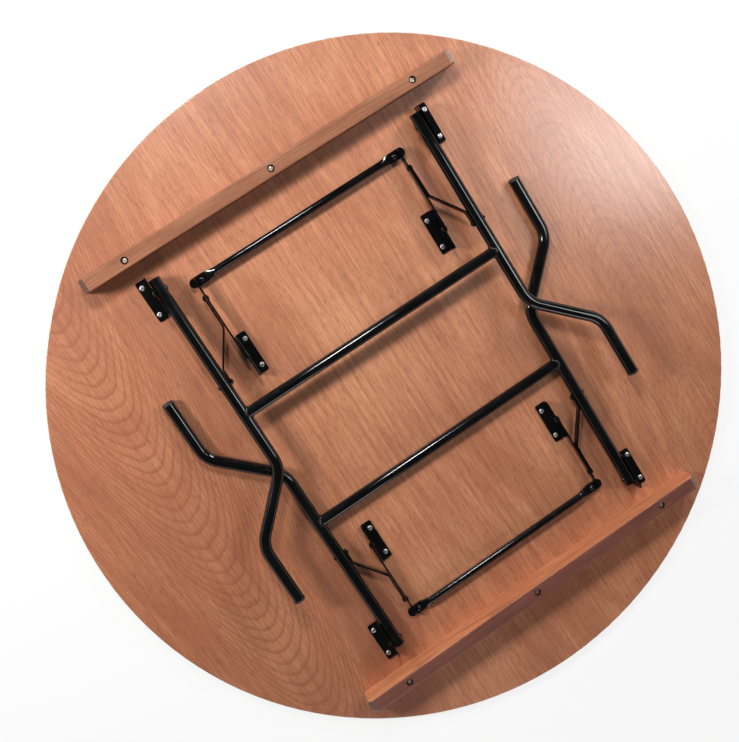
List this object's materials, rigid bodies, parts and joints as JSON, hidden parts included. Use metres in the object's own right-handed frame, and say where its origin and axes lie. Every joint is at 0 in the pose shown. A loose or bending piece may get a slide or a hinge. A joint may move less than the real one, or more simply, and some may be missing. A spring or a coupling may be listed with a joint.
{
  "type": "folding banquet table",
  "caption": "Round plywood banquet table with folding bent-tube steel leg sets, locking brace arms joined by lock rods, and stacking battens across its underside.",
  "frame": {"origin": "centre of the round show face, which lies on z = 0: the table lies face down with its legs folded, as it is laid to open them", "axes": "+Z out of the underside, +X along the battens, +Y toward the hinges of leg set A, the set that folds on top"},
  "size_m": [1.5238, 1.5238, 0.0941],
  "materials": {
    "plywood": "clear-coated veneer plywood, satin",
    "batten_wood": "stained and varnished softwood, satin",
    "black_enamel": "gloss black powder coat on steel",
    "bright_zinc": "bright zinc plate on steel",
    "yellow_zinc": "yellow zinc plate on steel",
    "foot_plug": "black moulded plug, matte"
  },
  "bodies": {
    "top": {"table_top": "plywood", "batten_a": "batten_wood", "batten_b": "batten_wood", "batten_screws": "yellow_zinc", "bracket_screws": "bright_zinc", "hinge_bracket_a_left": "black_enamel", "hinge_bracket_a_right": "black_enamel", "hinge_bracket_b_left": "black_enamel", "hinge_bracket_b_right": "black_enamel", "brace_bracket_a_left": "black_enamel", "brace_bracket_a_right": "black_enamel", "brace_bracket_b_left": "black_enamel", "brace_bracket_b_right": "black_enamel"},
    "leg_set_a": {"leg_a_left": "black_enamel", "leg_a_right": "black_enamel", "crossbar_a": "black_enamel", "foot_plugs_a": "foot_plug", "hinge_rivets_a": "black_enamel", "strut_rivets_a": "black_enamel"},
    "brace_a": {"brace_arm_a_left": "black_enamel", "brace_arm_a_right": "black_enamel", "lock_rod_a": "black_enamel", "brace_rivets_a": "black_enamel", "elbow_rivets_a": "black_enamel", "rod_rivets_a": "black_enamel"},
    "strut_a": {"strut_a_left": "black_enamel", "strut_a_right": "black_enamel", "elbow_caps_a": "black_enamel"},
    "leg_set_b": {"leg_b_left": "black_enamel", "leg_b_right": "black_enamel", "crossbar_b": "black_enamel", "foot_plugs_b": "foot_plug", "hinge_rivets_b": "black_enamel", "strut_rivets_b": "black_enamel"},
    "brace_b": {"brace_arm_b_left": "black_enamel", "brace_arm_b_right": "black_enamel", "lock_rod_b": "black_enamel", "brace_rivets_b": "black_enamel", "elbow_rivets_b": "black_enamel", "rod_rivets_b": "black_enamel"},
    "strut_b": {"strut_b_left": "black_enamel", "strut_b_right": "black_enamel", "elbow_caps_b": "black_enamel"}
  },
  "joints": [
    {"name": "leg_a_fold", "type": "hinge", "parent": "top", "child": "leg_set_a", "pos_m": [0, 0.463, 0.051], "axis": [-1, 0, 0], "range_deg": [0, 87.6]},
    {"name": "brace_a_swing", "type": "hinge", "parent": "top", "child": "brace_a", "pos_m": [0, 0.2517, 0.044], "axis": [1, 0, 0], "range_deg": [0, 50.4]},
    {"name": "strut_a_swing", "type": "hinge", "parent": "leg_set_a", "child": "strut_a", "pos_m": [0, 0.22879, 0.06082], "axis": [-1, 0, 0], "range_deg": [0, 36.71]},
    {"name": "leg_b_fold", "type": "hinge", "parent": "top", "child": "leg_set_b", "pos_m": [0, -0.463, 0.0375], "axis": [1, 0, 0], "range_deg": [0, 90.43]},
    {"name": "brace_b_swing", "type": "hinge", "parent": "top", "child": "brace_b", "pos_m": [0, -0.2517, 0.032], "axis": [-1, 0, 0], "range_deg": [0, 48.65]},
    {"name": "strut_b_swing", "type": "hinge", "parent": "leg_set_b", "child": "strut_b", "pos_m": [0, -0.2288, 0.03574], "axis": [1, 0, 0], "range_deg": [0, 39.76]}
  ],
  "couplings": [
    {"joint": "brace_a_swing", "follows": "leg_a_fold", "ratio": 0.5748},
    {"joint": "strut_a_swing", "follows": "leg_a_fold", "ratio": 0.41852},
    {"joint": "brace_b_swing", "follows": "leg_b_fold", "ratio": 0.53748},
    {"joint": "strut_b_swing", "follows": "leg_b_fold", "ratio": 0.43916}
  ]
}
